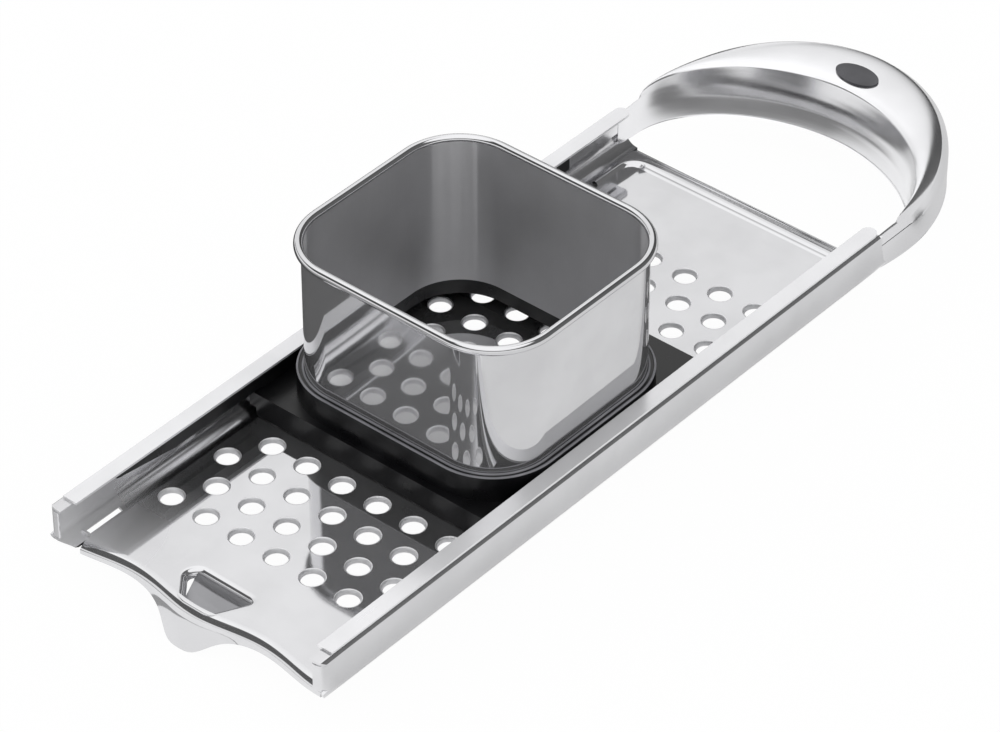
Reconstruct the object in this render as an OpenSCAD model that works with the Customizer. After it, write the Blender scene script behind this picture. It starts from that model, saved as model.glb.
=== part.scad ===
// Spaetzle maker: a perforated stainless tray with folded side rails, a D-shaped hollow
// handle, and a square hopper that rides on a plastic carriage between the rails.
// Frame: +X to the right, +Y towards the handle, +Z up. The origin is the centre of the
// overall length and width, on the surface that the tray rests on.

/* [Tray] */
// Outer width over the two side rails
tray_w = 107; // [106:0.5:110]
// Height of the bed's top face above the resting surface
bed_top = 11; // [10:0.5:14]
// Thickness of the sheet steel
sheet_t = 0.8; // [0.6:0.1:1]
// Length of the bed behind the rails' rear ends
bed_overhang = 6; // [4:0.5:8]
// Distance from each side of the bed to the rear lip that the tray rests on
rear_lip_inset = 9.5; // [6:0.5:14]
// Depth of the rear lip's foot, front to back
lip_foot = 4; // [3:0.5:6]

/* [Rails] */
// Length of each side rail
rail_l = 260; // [250:1:262]
// Height of the rail's top face above the bed's top face
rail_h = 15.6; // [15:0.1:17]
// Outer radius of the bend between bed and rail wall
bend_r = 6; // [5:0.5:7]
// Outer radius of the rail's top edge
edge_r = 1.6; // [1:0.1:2]
// Width of the rail's top flange
flange_w = 5; // [4:0.1:5.5]
// Width of the lip that closes the front end of each rail
front_lip_w = 4; // [3:0.5:4.5]
// Height over the bed at which the rounded cut of the rail's front corner starts
corner_cut = 6; // [4:0.5:7]
// Depth of that cut at the bottom of the rail, front to back
corner_depth = 5; // [3:0.5:6]

/* [Rail strips and liners] */
// Width of the cap strip on each rail
strip_w = 5.4; // [4:0.1:6]
// Distance from the tray's side to the cap strip's outer edge
strip_inset = 1.1; // [0.8:0.1:1.5]
// Distance from the rails' front ends to the cap strip
strip_start = 5.3; // [4:0.1:8]
// Length of the cap strip behind the rail's rear end
strip_overhang = 1; // [0:0.1:2]
// Distance from the rails' front ends to the guide liner
liner_start = 23; // [18:0.5:30]
// Length of the guide liner's tapered front end
liner_taper = 24; // [20:1:60]
// Height of the guide liner's tip at its front end
liner_tip = 0.9; // [0.8:0.1:2]
// Height of the guide liner
liner_h = 4.4; // [3:0.1:4.6]
// Width of the guide liner
liner_w = 4.1; // [3.5:0.1:4.2]

/* [Holes] */
// Diameter of each hole in the bed
hole_d = 8; // [7:0.1:9]
// Distance between neighbouring holes
hole_pitch = 14; // [13:0.1:14]
// Least distance between a hole's collar and the bend of a rail
hole_margin = 0.5; // [0.2:0.1:1]
// Least distance between the last row and the bead's front side
rear_margin = 33; // [30:1:36]
// Distance from the rails' front ends to the first row
first_row = 39; // [38:0.5:40]
// Depth of the collar around each hole below the bed's sheet
collar_depth = 1.2; // [0.5:0.1:2]
// Wall of the collar around each hole
collar_t = 0.7; // [0.5:0.1:0.8]

/* [Front edge and pot hook] */
// Sideways offset of the pot hook and its window from the centre line
hook_x = -3.5; // [-4:0.5:4]
// Mean distance from the rails' front ends to the bed's folded front edge
fold_start = 7.2; // [6:0.1:8]
// Depth of the wave in the folded front edge, each way
fold_wave = 1.6; // [0.5:0.1:2]
// Length of one wave of the folded front edge
fold_wavelength = 50; // [45:1:60]
// Height of the apron that hangs from the folded front edge
apron_h = 3; // [2.5:0.1:4]
// Half width of the nose that the apron forms over the pot hook, at half its height
nose_half = 10; // [8:0.5:12]
// How far the nose stands out in front of the folded edge
nose_reach = 5.5; // [3:0.1:5.5]
// Width of the window's long rear side
window_rear_w = 22; // [18:1:24]
// Width of the window's short front side
window_front_w = 10; // [8:1:12]
// Distance from the rails' front ends to the window's rear side
window_rear = 20; // [19:0.5:21]
// Distance from the rails' front ends to the window's front side
window_front = 9.3; // [9:0.1:10]
// Half width of the pot hook
hook_half = 6.5; // [5:0.5:8]
// Thickness of the pot hook
hook_t = 0.8; // [0.6:0.1:1.2]
// Depth of the dish across the pot hook
hook_dish = 0.8; // [0.4:0.1:1.2]

/* [Stops] */
// Width of the slot beside each rail wall
slot_w = 1.6; // [1:0.1:2]
// Length of the slot
slot_l = 14.5; // [10:0.5:16]
// Distance from the rails' front ends to the slot
slot_start = 10.5; // [10:0.5:12]
// Height of the stop tab at the slot's front end above the bed
tab_h = 1.4; // [1:0.1:2]
// Height of the raised bead at the bed's rear
bead_h = 1; // [0.8:0.1:1.5]
// Width of the raised bead
bead_w = 5.6; // [3:0.1:6]
// Distance from the bead's rear side to the bed's rear edge
bead_inset = 4.4; // [4:0.1:9]
// Distance from the bend of a rail to the bead
bead_gap = 0.4; // [0.3:0.1:1]
// Length of the bead's two short arms along the rails
bead_arm = 24; // [15:1:30]

/* [Handle] */
// How far the handle's widest place is inside the tray's sides
loop_inset = 0.3; // [0:0.1:0.6]
// Distance from the rails' rear ends to the handle's widest place
loop_gap = 17; // [15:1:20]
// Distance from the handle's widest place to its tip
loop_reach = 59; // [55:1:63]
// Roundness of the loop's outside; 2 is an ellipse and less is slimmer
loop_power = 1.9; // [1.8:0.05:2.2]
// Distance from the rails' rear ends to the centre of the loop's opening
opening_gap = 9; // [7:1:12]
// How far the opening's half width is inside the tray's side
opening_inset = 2; // [1.8:0.1:3]
// Width of the handle's band at its tip, seen from above
band_w = 24.7; // [20:0.1:27]
// How far the opening's lower edge stands inside its upper edge at the tip
band_overhang = 3.4; // [2:0.1:5]
// Height of the handle's lower edge above the bed
handle_low = 1.2; // [0:0.1:2]
// Height of the handle's inner upper edge above the bed
handle_edge = 16.4; // [15:0.1:17]
// Height of the handle's crown above the bed, at its tip
handle_crown = 21.6; // [19:0.1:26]
// Height of the seam between the two handle shells above the bed
handle_seam = 6.7; // [5:0.1:8]
// Thickness of the handle's sheet
handle_t = 0.9; // [0.8:0.1:1.2]
// Length of each handle arm inside its rail
arm_overlap = 30; // [25:1:32]
// Thickness of each handle arm
arm_t = 1.3; // [1:0.1:1.6]
// Length of the oval inlay on the handle's crown
inlay_l = 16; // [12:0.5:18]
// Distance from the handle's inner edge to the middle of the inlay
inlay_seat = 7; // [6:0.1:9]
// Thickness of the oval inlay
inlay_h = 1.2; // [0.9:0.1:1.5]
// Share of the crown's rise over the inner edge at which the inlay lies
inlay_rise = 0.93; // [0.8:0.01:1]
// Tilt of the inlay towards the handle's inner edge
inlay_tilt = 4; // [0:1:10]
// Width of the oval inlay
inlay_w = 9; // [7:0.5:11]

/* [Hopper] */
// Gap between the hopper's collar and the cap strips
collar_clear = 0.7; // [0.5:0.1:1.5]
// Hopper length across the centre of its rolled rim
hopper_l = 82.2; // [78:0.2:83]
// Outer radius of the hopper's four upright corners
hopper_corner = 20; // [14:0.5:26]
// Distance from the rails' front ends to the hopper's centre, as stored
hopper_y = 128.4; // [120:0.1:136]
// Height of the rim's centre above the bed
rim_z = 63.4; // [55:0.1:70]
// Radius of the rolled rim
rim_r = 1.5; // [1:0.1:2]
// Height of the hopper's lower edge above the bed
hopper_foot = 10.6; // [10:0.1:11]

/* [Carriage] */
// Gap between the carriage's frame and the rails' walls
side_clear = 1.7; // [1:0.1:2]
// Distance from the frame's front face to the hopper's centre
frame_front = 45.5; // [44:0.1:46]
// Length of the carriage's frame
frame_l = 99; // [95:0.5:100]
// Height of the frame's top face above the bed
frame_top = 8.7; // [8:0.1:9]
// Height of the frame's side members above the bed
frame_low = 3.4; // [3:0.1:4]
// Gap between the front and rear bars and the bed
bar_gap = 0.4; // [0.2:0.1:0.6]
// Depth of the front bar, front to back
front_bar = 3.5; // [3:0.1:4]
// Depth of the rear bar, front to back
rear_bar = 8.5; // [7:0.5:9]
// Gap between the rear bar and the bead's arms, which it runs between
bead_clear = 1.5; // [0.5:0.1:3]
// Wall of the collar around the hopper's foot
collar_wall = 2.2; // [1.5:0.1:2.3]
// Height of the collar's top above the bed
collar_top = 17.6; // [16:0.1:19]
// Gap between pieces that fit together
fit_gap = 0.1; // [0.05:0.05:0.3]
// Gap between pieces that slide past each other
slide_gap = 0.3; // [0.2:0.1:0.5]

/* [Hidden] */
steel = "silver";
black = [0.08, 0.08, 0.09];
eps = 0.01;
loop_start = rail_l + loop_gap;
overall_l = loop_start + loop_reach;
front_y = -overall_l / 2;
wall_x = tray_w / 2;
bend_x = wall_x - bend_r;
seam_x = bend_x;
bed_end = rail_l + bed_overhang;
rear_lip_half = seam_x - rear_lip_inset;
strip_l = rail_l - strip_start + strip_overhang;
arm_start = rail_l - arm_overlap;
liner_l = arm_start - liner_start;
bead_end = bed_end - bead_inset;
loop_half = wall_x - loop_inset;
opening_start = rail_l + opening_gap;
opening_half = wall_x - opening_inset;
opening_top_d = overall_l - band_w - opening_start;
opening_low_d = opening_top_d - band_overhang;
flange_x = wall_x - flange_w;
strip_out = wall_x - strip_inset;
strip_in = strip_out - strip_w;
liner_out = wall_x - edge_r;
liner_in = liner_out - liner_w;
liner_low = rail_h - sheet_t - liner_h;
row_step = hole_pitch * sin(60);
collar_r = hole_d / 2 + collar_t;
row_holes = 1 + 2 * floor((seam_x - collar_r - hole_margin) / hole_pitch);
hole_rows = 1 + floor((bead_end - bead_w - rear_margin - first_row) / row_step);
bead_arm_w = 3;
bead_arm_x = seam_x - bead_gap - bead_arm_w / 2;
slot_x = bend_x + 0.8;
hopper_cy = front_y + hopper_y;
wall_inset = 0.6;
hopper_a = strip_in - collar_clear - collar_wall - fit_gap;
hopper_b = hopper_l / 2 - wall_inset;
frame_half = wall_x - sheet_t - side_clear;
rear_bar_half = bead_arm_x - bead_arm_w / 2 - bead_clear;
frame_y0 = hopper_cy - frame_front;
frame_y1 = frame_y0 + frame_l;

// Place measured from the rails' front ends
function from_front(d) = front_y + d;

// Distance of the folded front edge from the rails' front ends
function fold_at(x) = fold_start - fold_wave * cos(360 * (x - hook_x) / fold_wavelength);

// Point of a superellipse with half axes a and b
function squircle(a, b, power, angle) = [
    a * sign(cos(angle)) * pow(abs(cos(angle)), 2 / power),
    b * sign(sin(angle)) * pow(abs(sin(angle)), 2 / power)
];

// The hopper's plan, moved outwards by off
module hopper_plan(off) {
    a = hopper_a + off;
    b = hopper_b + off;
    r = hopper_corner + off;
    square([2 * (a - r), 2 * b], center = true);
    square([2 * a, 2 * (b - r)], center = true);
    for (side = [-1, 1])
        for (end = [-1, 1])
            translate([side * (a - r), end * (b - r)])
                circle(r = r, $fn = 96);
}

// Plate in the hopper's plan, from height z0 to z1 above the bed
module hopper_plate(off, z0, z1) {
    translate([0, hopper_cy, bed_top + z0])
        linear_extrude(z1 - z0)
            hopper_plan(off);
}

// Ring in the hopper's plan, between two offsets
module hopper_ring(inner, outer, z0, z1) {
    difference() {
        hopper_plate(outer, z0, z1);
        hopper_plate(inner, z0 - 1, z1 + 1);
    }
}

// Box between two corners given from the centre line, the rails' front ends and the bed
module block(x0, x1, y0, y1, z0, z1) {
    translate([x0, from_front(y0), bed_top + z0])
        cube([x1 - x0, y1 - y0, z1 - z0]);
}

// Solid through a list of sections. Each section is an outer line, then an inner line back
module sweep(sections) {
    n = len(sections[0]);
    last = len(sections) - 1;
    points = [for (s = sections) for (p = s) p];
    sides = [for (i = [0 : last - 1]) for (j = [0 : n - 1])
        let (k = (j + 1) % n)
        for (t = [[i * n + j, (i + 1) * n + k, i * n + k],
                  [i * n + j, (i + 1) * n + j, (i + 1) * n + k]]) t];
    ends = [for (j = [0 : n / 2 - 2])
        let (q = n - 1 - j, e = last * n)
        for (t = [[j, j + 1, q - 1], [j, q - 1, q],
                  [e + j, e + q - 1, e + j + 1], [e + j, e + q, e + q - 1]]) t];
    polyhedron(points, concat(sides, ends));
}

// Centres of the holes; even rows are long, odd rows are short
hole_centres = [for (row = [0 : hole_rows - 1])
    let (count = row_holes - row % 2)
    for (i = [0 : count - 1])
        [(i - (count - 1) / 2) * hole_pitch, from_front(first_row) + row * row_step]];

fold_steps = 38;
fold_xs = [for (i = [0 : fold_steps]) -seam_x + 2 * seam_x * i / fold_steps];

module bed_sheet() {
    rear = from_front(bed_end);
    translate([0, 0, bed_top - sheet_t])
        linear_extrude(sheet_t)
            polygon(concat(
                [for (x = fold_xs) [x, from_front(fold_at(x))]],
                [[seam_x, rear], [-seam_x, rear]]));
}

// Share of the nose's full size at x
function nose_at(x) = 1 / (1 + pow(abs(x - hook_x) / nose_half, 3.5));

apron_steps = 4;

// Section of the apron at x: straight down, or forward and down where it forms the nose
function apron_section(x) =
    let (share = nose_at(x), drop = apron_h + (bed_top - apron_h) * share)
    concat(
        [for (k = [0 : apron_steps])
            [x, from_front(fold_at(x) - nose_reach * share * k / apron_steps),
             bed_top - drop * k / apron_steps]],
        [for (k = [apron_steps : -1 : 0])
            [x, from_front(fold_at(x) + sheet_t - nose_reach * share * k / apron_steps),
             bed_top - drop * k / apron_steps]]);

module apron() {
    sweep([for (x = fold_xs) apron_section(x)]);
}

module rear_lip() {
    block(-rear_lip_half, rear_lip_half, bed_end - sheet_t, bed_end, -bed_top, 0);
    block(-rear_lip_half, rear_lip_half, bed_end - lip_foot, bed_end - sheet_t + eps,
        -bed_top, -bed_top + sheet_t);
}

// Raised bead: across the bed's rear, with a short arm along each rail
module rear_bead() {
    out = seam_x - bead_gap;
    block(-out, out, bead_end - bead_w, bead_end, -eps, bead_h);
    for (side = [-1, 1])
        block(side * bead_arm_x - bead_arm_w / 2, side * bead_arm_x + bead_arm_w / 2,
            bead_end - bead_arm, bead_end - bead_w + eps, -eps, bead_h);
}

module pot_window() {
    translate([hook_x, 0, bed_top - 5])
        linear_extrude(10)
            polygon([
                [-window_rear_w / 2, from_front(window_rear)],
                [-window_front_w / 2, from_front(window_front)],
                [window_front_w / 2, from_front(window_front)],
                [window_rear_w / 2, from_front(window_rear)]]);
}

module bed_plate() {
    color(steel)
    difference() {
        union() {
            bed_sheet();
            apron();
            rear_lip();
            rear_bead();
            for (c = hole_centres)
                translate([c[0], c[1], bed_top - sheet_t - collar_depth])
                    cylinder(h = collar_depth + sheet_t / 2, r = collar_r, $fn = 32);
        }
        for (c = hole_centres)
            translate([c[0], c[1], bed_top - 5])
                cylinder(h = 10, r = hole_d / 2, $fn = 32);
        pot_window();
    }
}

// Section of the right rail across X and Z, as a closed bent strip
module rail_section() {
    difference() {
        union() {
            translate([bend_x, bed_top - sheet_t + bend_r])
                circle(r = bend_r, $fn = 64);
            translate([bend_x, bed_top - sheet_t + bend_r])
                square([bend_r, rail_h + sheet_t - bend_r - edge_r]);
            translate([wall_x - edge_r, bed_top + rail_h - edge_r])
                circle(r = edge_r, $fn = 48);
            translate([flange_x, bed_top + rail_h - 2 * edge_r])
                square([flange_w - edge_r, 2 * edge_r]);
        }
        translate([bend_x, bed_top - sheet_t + bend_r])
            circle(r = bend_r - sheet_t, $fn = 64);
        translate([0, bed_top - sheet_t - 1])
            square([bend_x, bend_r * 2 + 2]);
        translate([bend_x - eps, bed_top - sheet_t + bend_r])
            square([bend_r - sheet_t + eps, rail_h - bend_r - edge_r + sheet_t]);
        translate([flange_x - 1, bed_top + rail_h - 3 * edge_r])
            square([flange_w + 1 - edge_r, 3 * edge_r - sheet_t]);
        translate([wall_x - edge_r, bed_top + rail_h - edge_r])
            circle(r = edge_r - sheet_t, $fn = 48);
    }
}

module rail_blank() {
    translate([0, from_front(rail_l), 0])
        rotate([90, 0, 0])
            linear_extrude(rail_l)
                rail_section();
    block(wall_x - front_lip_w, wall_x - sheet_t + eps, 0, sheet_t,
        corner_cut - 1, rail_h - edge_r);
}

// Shape that rounds away the lower front corner of a rail
module corner_round() {
    steps = 12;
    fall = corner_cut + sheet_t;
    translate([bend_x - 1, 0, 0])
        rotate([90, 0, 90])
            linear_extrude(bend_r + 3)
                polygon(concat(
                    [for (k = [0 : steps])
                        [from_front(corner_depth * pow(k / steps, 2)),
                         bed_top + corner_cut - fall * k / steps]],
                    [[from_front(corner_depth), bed_top - 5], [from_front(-5), bed_top - 5],
                     [from_front(-5), bed_top + corner_cut]]));
}

module right_rail_shape() {
    difference() {
        rail_blank();
        corner_round();
        block(slot_x, slot_x + slot_w, slot_start, slot_start + slot_l, -3, 3);
    }
    block(slot_x - 0.6, slot_x + slot_w + 0.6, slot_start - sheet_t, slot_start, -0.3, tab_h);
}

module right_rail() {
    color(steel) right_rail_shape();
}

module left_rail() {
    color(steel) mirror([1, 0, 0]) right_rail_shape();
}

module cap_strip_shape() {
    round_r = strip_w / 2;
    block(strip_in, strip_out, strip_start, strip_start + strip_l - round_r,
        rail_h, rail_h + sheet_t);
    translate([strip_in + round_r, from_front(strip_start + strip_l - round_r), bed_top + rail_h])
        cylinder(h = sheet_t, r = round_r, $fn = 48);
}

module right_cap_strip() {
    color(steel) cap_strip_shape();
}

module left_cap_strip() {
    color(steel) mirror([1, 0, 0]) cap_strip_shape();
}

// Guide liner: a plastic bar under the flange, tapered at its front end
module guide_liner_shape() {
    top = bed_top + rail_h - sheet_t;
    translate([liner_in, 0, 0])
        rotate([90, 0, 90])
            linear_extrude(liner_w)
                polygon([
                    [from_front(liner_start), top],
                    [from_front(liner_start), top - liner_tip],
                    [from_front(liner_start + liner_taper), top - liner_h],
                    [from_front(liner_start + liner_l), top - liner_h],
                    [from_front(liner_start + liner_l), top]]);
}

module right_guide_liner() {
    color(black) guide_liner_shape();
}

module left_guide_liner() {
    color(black) mirror([1, 0, 0]) guide_liner_shape();
}

// Pot hook: a bent tongue under the window that curls forward beneath the apron
hook_steps = 16;
hook_seat = 0.25;
hook_root_y = window_rear + 5;
hook_tip_y = 3.5;
hook_root_half = window_rear_w / 2 + 1.5;
hook_seat_z = -sheet_t - hook_t / 2;
hook_step = hook_t / 2;
hook_fall = bed_top + hook_seat_z - hook_step - hook_t / 2;

// Side view of the tongue's middle line: place from the front ends, height over the bed
function hook_line(u) = u < hook_seat
    ? [hook_root_y + (window_rear - hook_root_y) * u / hook_seat,
       hook_seat_z - hook_step * pow(max(0, u / hook_seat - 0.48) / 0.52, 2)]
    : let (v = (u - hook_seat) / (1 - hook_seat))
        [window_rear + (hook_tip_y - window_rear) * v,
         hook_seat_z - hook_step - hook_fall * pow(sin(90 * v), 1.3)];

function hook_half_at(u) = u < 0.85
    ? hook_root_half + (hook_half - hook_root_half) * u / 0.85
    : hook_half * sqrt(1 - pow((u - 0.85) / 0.16, 2));

// The tongue is dished by hook_dish across its width, away from its root
function hook_section(u) =
    let (p = hook_line(u), w = hook_half_at(u), dish = hook_dish * min(1, 3 * max(0, u - 0.12)))
    concat(
        [for (k = [-4 : 4])
            [hook_x + w * k / 4, from_front(p[0]),
             bed_top + max(p[1] - hook_t / 2 + dish * (pow(k / 4, 2) - 1), -bed_top)]],
        [for (k = [4 : -1 : -4])
            [hook_x + w * k / 4, from_front(p[0]),
             bed_top + max(p[1] + hook_t / 2 + dish * (pow(k / 4, 2) - 1), -bed_top + hook_t)]]);

module pot_hook() {
    color(steel)
        sweep([for (i = [0 : hook_steps]) hook_section(i / hook_steps)]);
}

// Handle: sections across the loop. Angle 0 is at the right arm and 180 at the left arm
handle_steps = 44;

arm_steps = 4;
arm_end = rail_l - 1;
arm_out_x = wall_x - sheet_t - fit_gap;
arm_in_x = arm_out_x - arm_t;

// Angle of section i, kept at the loop's ends for the sections of the two arms
function loop_angle(i) = min(180, max(0, 180 * i / handle_steps));

// How far section i lies along its arm: 0 at the loop's end, 1 at the rail
function arm_at(i) = max(0, -i, i - handle_steps) / arm_steps;

function loop_outer(i) =
    let (a = loop_angle(i), t = arm_at(i))
    t == 0 ? [0, from_front(loop_start)] + squircle(loop_half, loop_reach, loop_power, a)
    : [sign(cos(a)) * (loop_half - (loop_half - arm_out_x) * t * t),
       from_front(loop_start - (loop_start - arm_end) * t)];

function loop_inner(i, depth, power) =
    let (a = loop_angle(i), t = arm_at(i))
    t == 0 ? [0, from_front(opening_start)] + squircle(opening_half, depth, power, a)
    : [sign(cos(a)) * (opening_half - (opening_half - arm_in_x) * t),
       from_front(opening_start - (opening_start - arm_end) * t)];

// Height of the handle's lower edge over the bed: it rises along the arms
function low_at(i) = handle_low + (arm_low - handle_low) * pow(arm_at(i), 2);

// Height of the inner upper edge over the bed: it drops below the rails' flanges
function edge_at(i) = handle_edge + (arm_top - handle_edge) * pow(arm_at(i), 2);

// Height of the crown over the bed: level with the edge at the arms, highest at the tip
function crown_at(i) = edge_at(i) + (handle_crown - handle_edge) * pow(sin(loop_angle(i)), 0.3);

// Section of the whole handle at one angle, shrunk towards its middle by t
function handle_profile(i, t) =
    let (
        low = loop_inner(i, opening_low_d, 1.9),
        top = loop_inner(i, opening_top_d, 1.9),
        out = loop_outer(i),
        span = norm(out - low),
        low_z = low_at(i),
        edge = edge_at(i),
        rise = crown_at(i) - edge,
        h = edge - low_z,
        mid_u = 0.5,
        mid_z = (low_z + edge) / 2,
        edge_u = (top - low) * (out - low) / (span * span),
        ku = max(0.12, 1 - 2 * t / span),
        kz = 1 - 2 * t / (edge - low_z),
        raw = [
            [0, low_z + 0.05 * h], [0, handle_seam],
            [0, edge - 0.45 * h], [edge_u * 0.08, edge - 0.25 * h],
            [edge_u * 0.25, edge - 0.07 * h],
            [edge_u * 0.9, edge + rise * 0.55],
            [edge_u + (1 - edge_u) * 0.033, edge + rise * 0.73],
            [edge_u + (1 - edge_u) * 0.078, edge + rise * 0.85],
            [edge_u + (1 - edge_u) * 0.283, edge + rise * 0.95],
            [edge_u + (1 - edge_u) * 0.545, edge + rise],
            [edge_u + (1 - edge_u) * 0.772, edge + rise * 0.93],
            [edge_u + (1 - edge_u) * 0.886, edge + rise * 0.72],
            [edge_u + (1 - edge_u) * 0.964, edge + rise * 0.37],
            [1, edge - 0.12 * h],
            [1, handle_seam], [0.97, low_z + 0.05 * h], [0.88, low_z], [0.12, low_z]
        ])
    [for (q = raw)
        let (u = mid_u + (q[0] - mid_u) * ku, z = mid_z + (q[1] - mid_z) * kz,
            p = low + (out - low) * u)
        [p[0], p[1], bed_top + z]];

// The part of a profile on one side of the seam, closed with its own inner face
seam_in = 1;
seam_out = 14;
profile_n = 18;

function shell_section(place, upper) =
    let (
        o = handle_profile(place, 0),
        i = handle_profile(place, handle_t),
        ids = upper ? [for (k = [seam_in : seam_out]) k]
                    : [for (k = [seam_out : profile_n + seam_in]) k % profile_n],
        seam_z = bed_top + handle_seam,
        m = len(ids))
    concat(
        [for (k = ids) o[k]],
        [for (j = [m - 1 : -1 : 0])
            let (q = i[ids[j]])
            j == 0 || j == m - 1 ? [q[0], q[1], seam_z] : q]);

// Straight arms, tucked inside the rail walls
arm_x1 = wall_x - sheet_t;
arm_x0 = arm_x1 - arm_t;
arm_low = handle_seam - 1.2;
arm_top = rail_h - edge_r;

module handle_arm(side) {
    y0 = arm_start;
    y1 = arm_end + 3;
    z0 = handle_seam + 0.3;
    z1 = arm_top;
    translate([side > 0 ? arm_x0 : -arm_x1, from_front(y0), bed_top + z0])
        cube([arm_x1 - arm_x0, y1 - y0, z1 - z0]);
}

module handle_top_shell() {
    color(steel) {
        sweep([for (i = [-arm_steps : handle_steps + arm_steps]) shell_section(i, true)]);
        for (side = [-1, 1]) handle_arm(side);
    }
}

module handle_bottom_shell() {
    color(steel)
        sweep([for (i = [-arm_steps : handle_steps + arm_steps]) shell_section(i, false)]);
}

module handle_inlay() {
    seat_y = from_front(overall_l - band_w + inlay_seat);
    color(black)
        translate([0, seat_y, bed_top + handle_edge + (handle_crown - handle_edge) * inlay_rise])
            rotate([inlay_tilt, 0, 0])
                translate([0, 0, -inlay_h / 2])
                    scale([1, inlay_w / inlay_l, 1])
                        cylinder(h = inlay_h, r = inlay_l / 2, $fn = 48);
}

// Carriage: a plastic frame that slides on the bed between the rails
module carriage_frame() {
    frame_y = hopper_y - frame_front;
    side_in = hopper_a + 2;
    rib_low = liner_low - slide_gap;
    color(black) {
        difference() {
            union() {
                block(-frame_half, frame_half, frame_y, frame_y + frame_l, frame_low, frame_top);
                for (side = [-1, 1])
                    block(side * (frame_half - 1.2) - 1.2, side * (frame_half - 1.2) + 1.2,
                        frame_y + 3, frame_y + frame_l - 3, frame_top - eps, rib_low);
                hopper_ring(-sheet_t, fit_gap / 2, frame_top - eps, hopper_foot);
                block(-bend_x - 0.9, bend_x + 0.9, frame_y, frame_y + front_bar,
                    bar_gap, frame_low + eps);
                block(-rear_bar_half, rear_bar_half, frame_y + frame_l - rear_bar,
                    frame_y + frame_l, bar_gap, frame_low + eps);
            }
            hopper_plate(-sheet_t, frame_low - 1, hopper_foot + 1);
            block(-side_in, side_in, frame_y + front_bar, frame_y + frame_l - rear_bar,
                frame_low - 1, frame_low + 2);
        }
    }
}

module hopper_collar() {
    color(black)
        hopper_ring(fit_gap, collar_wall + fit_gap, frame_top, collar_top);
}

// Rolled rim: four straight beads joined by four quarter rings
module rim_bead() {
    a = hopper_a + wall_inset;
    b = hopper_b + wall_inset;
    r = hopper_corner + wall_inset;
    long_y = 2 * (b - r);
    long_x = 2 * (a - r);
    translate([0, hopper_cy, bed_top + rim_z]) {
        for (side = [-1, 1]) {
            translate([side * a, long_y / 2, 0])
                rotate([90, 0, 0])
                    cylinder(h = long_y, r = rim_r, $fn = 48);
            translate([-long_x / 2, side * b, 0])
                rotate([0, 90, 0])
                    cylinder(h = long_x, r = rim_r, $fn = 48);
        }
        for (k = [0 : 3])
            translate([(k == 0 || k == 3 ? 1 : -1) * (a - r), (k < 2 ? 1 : -1) * (b - r), 0])
                rotate([0, 0, 90 * k])
                    rotate_extrude(angle = 90, $fn = 96)
                        translate([r, 0])
                            circle(r = rim_r, $fn = 48);
    }
}

module hopper_shell() {
    color(steel) {
        hopper_ring(-sheet_t, 0, hopper_foot, rim_z);
        rim_bead();
    }
}

bed_plate();
left_rail();
right_rail();
left_cap_strip();
right_cap_strip();
left_guide_liner();
right_guide_liner();
pot_hook();
handle_top_shell();
handle_bottom_shell();
handle_inlay();
carriage_frame();
hopper_collar();
hopper_shell();
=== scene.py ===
"""A spaetzle maker: perforated steel tray, loop handle, pot hook and a sliding hopper."""

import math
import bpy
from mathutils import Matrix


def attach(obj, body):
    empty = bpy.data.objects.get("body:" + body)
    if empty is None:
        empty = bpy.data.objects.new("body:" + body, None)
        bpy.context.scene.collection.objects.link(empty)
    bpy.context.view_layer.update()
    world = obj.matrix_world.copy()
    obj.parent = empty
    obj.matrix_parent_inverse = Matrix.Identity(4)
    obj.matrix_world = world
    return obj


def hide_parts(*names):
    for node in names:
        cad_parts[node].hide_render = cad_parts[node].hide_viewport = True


bl_info = {
    "name": "Spaetzle Maker",
    "version": (1, 0, 0),
    "blender": (4, 5, 0),
    "location": "View3D > Sidebar > Spaetzle Maker",
    "description": "Builds the polished pieces of a spaetzle maker around its packed solids",
    "category": "Object",
}

import bpy
from mathutils import Vector
from mathutils.geometry import delaunay_2d_cdt

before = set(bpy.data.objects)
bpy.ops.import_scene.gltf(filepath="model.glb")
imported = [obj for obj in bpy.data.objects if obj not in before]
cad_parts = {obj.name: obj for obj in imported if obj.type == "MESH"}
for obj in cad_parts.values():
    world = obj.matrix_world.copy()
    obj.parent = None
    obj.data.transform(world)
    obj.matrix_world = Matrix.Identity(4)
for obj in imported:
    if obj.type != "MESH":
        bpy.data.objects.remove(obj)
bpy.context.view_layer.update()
MM = 0.001
# in millimetres: the rails' front ends, the bed's upper face, and the sheet's thickness
FRONT_Y = -168.0
BED_TOP = 11.0
SHEET = 0.8


# ---------------------------------------------------------------- sizes and colours

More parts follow.
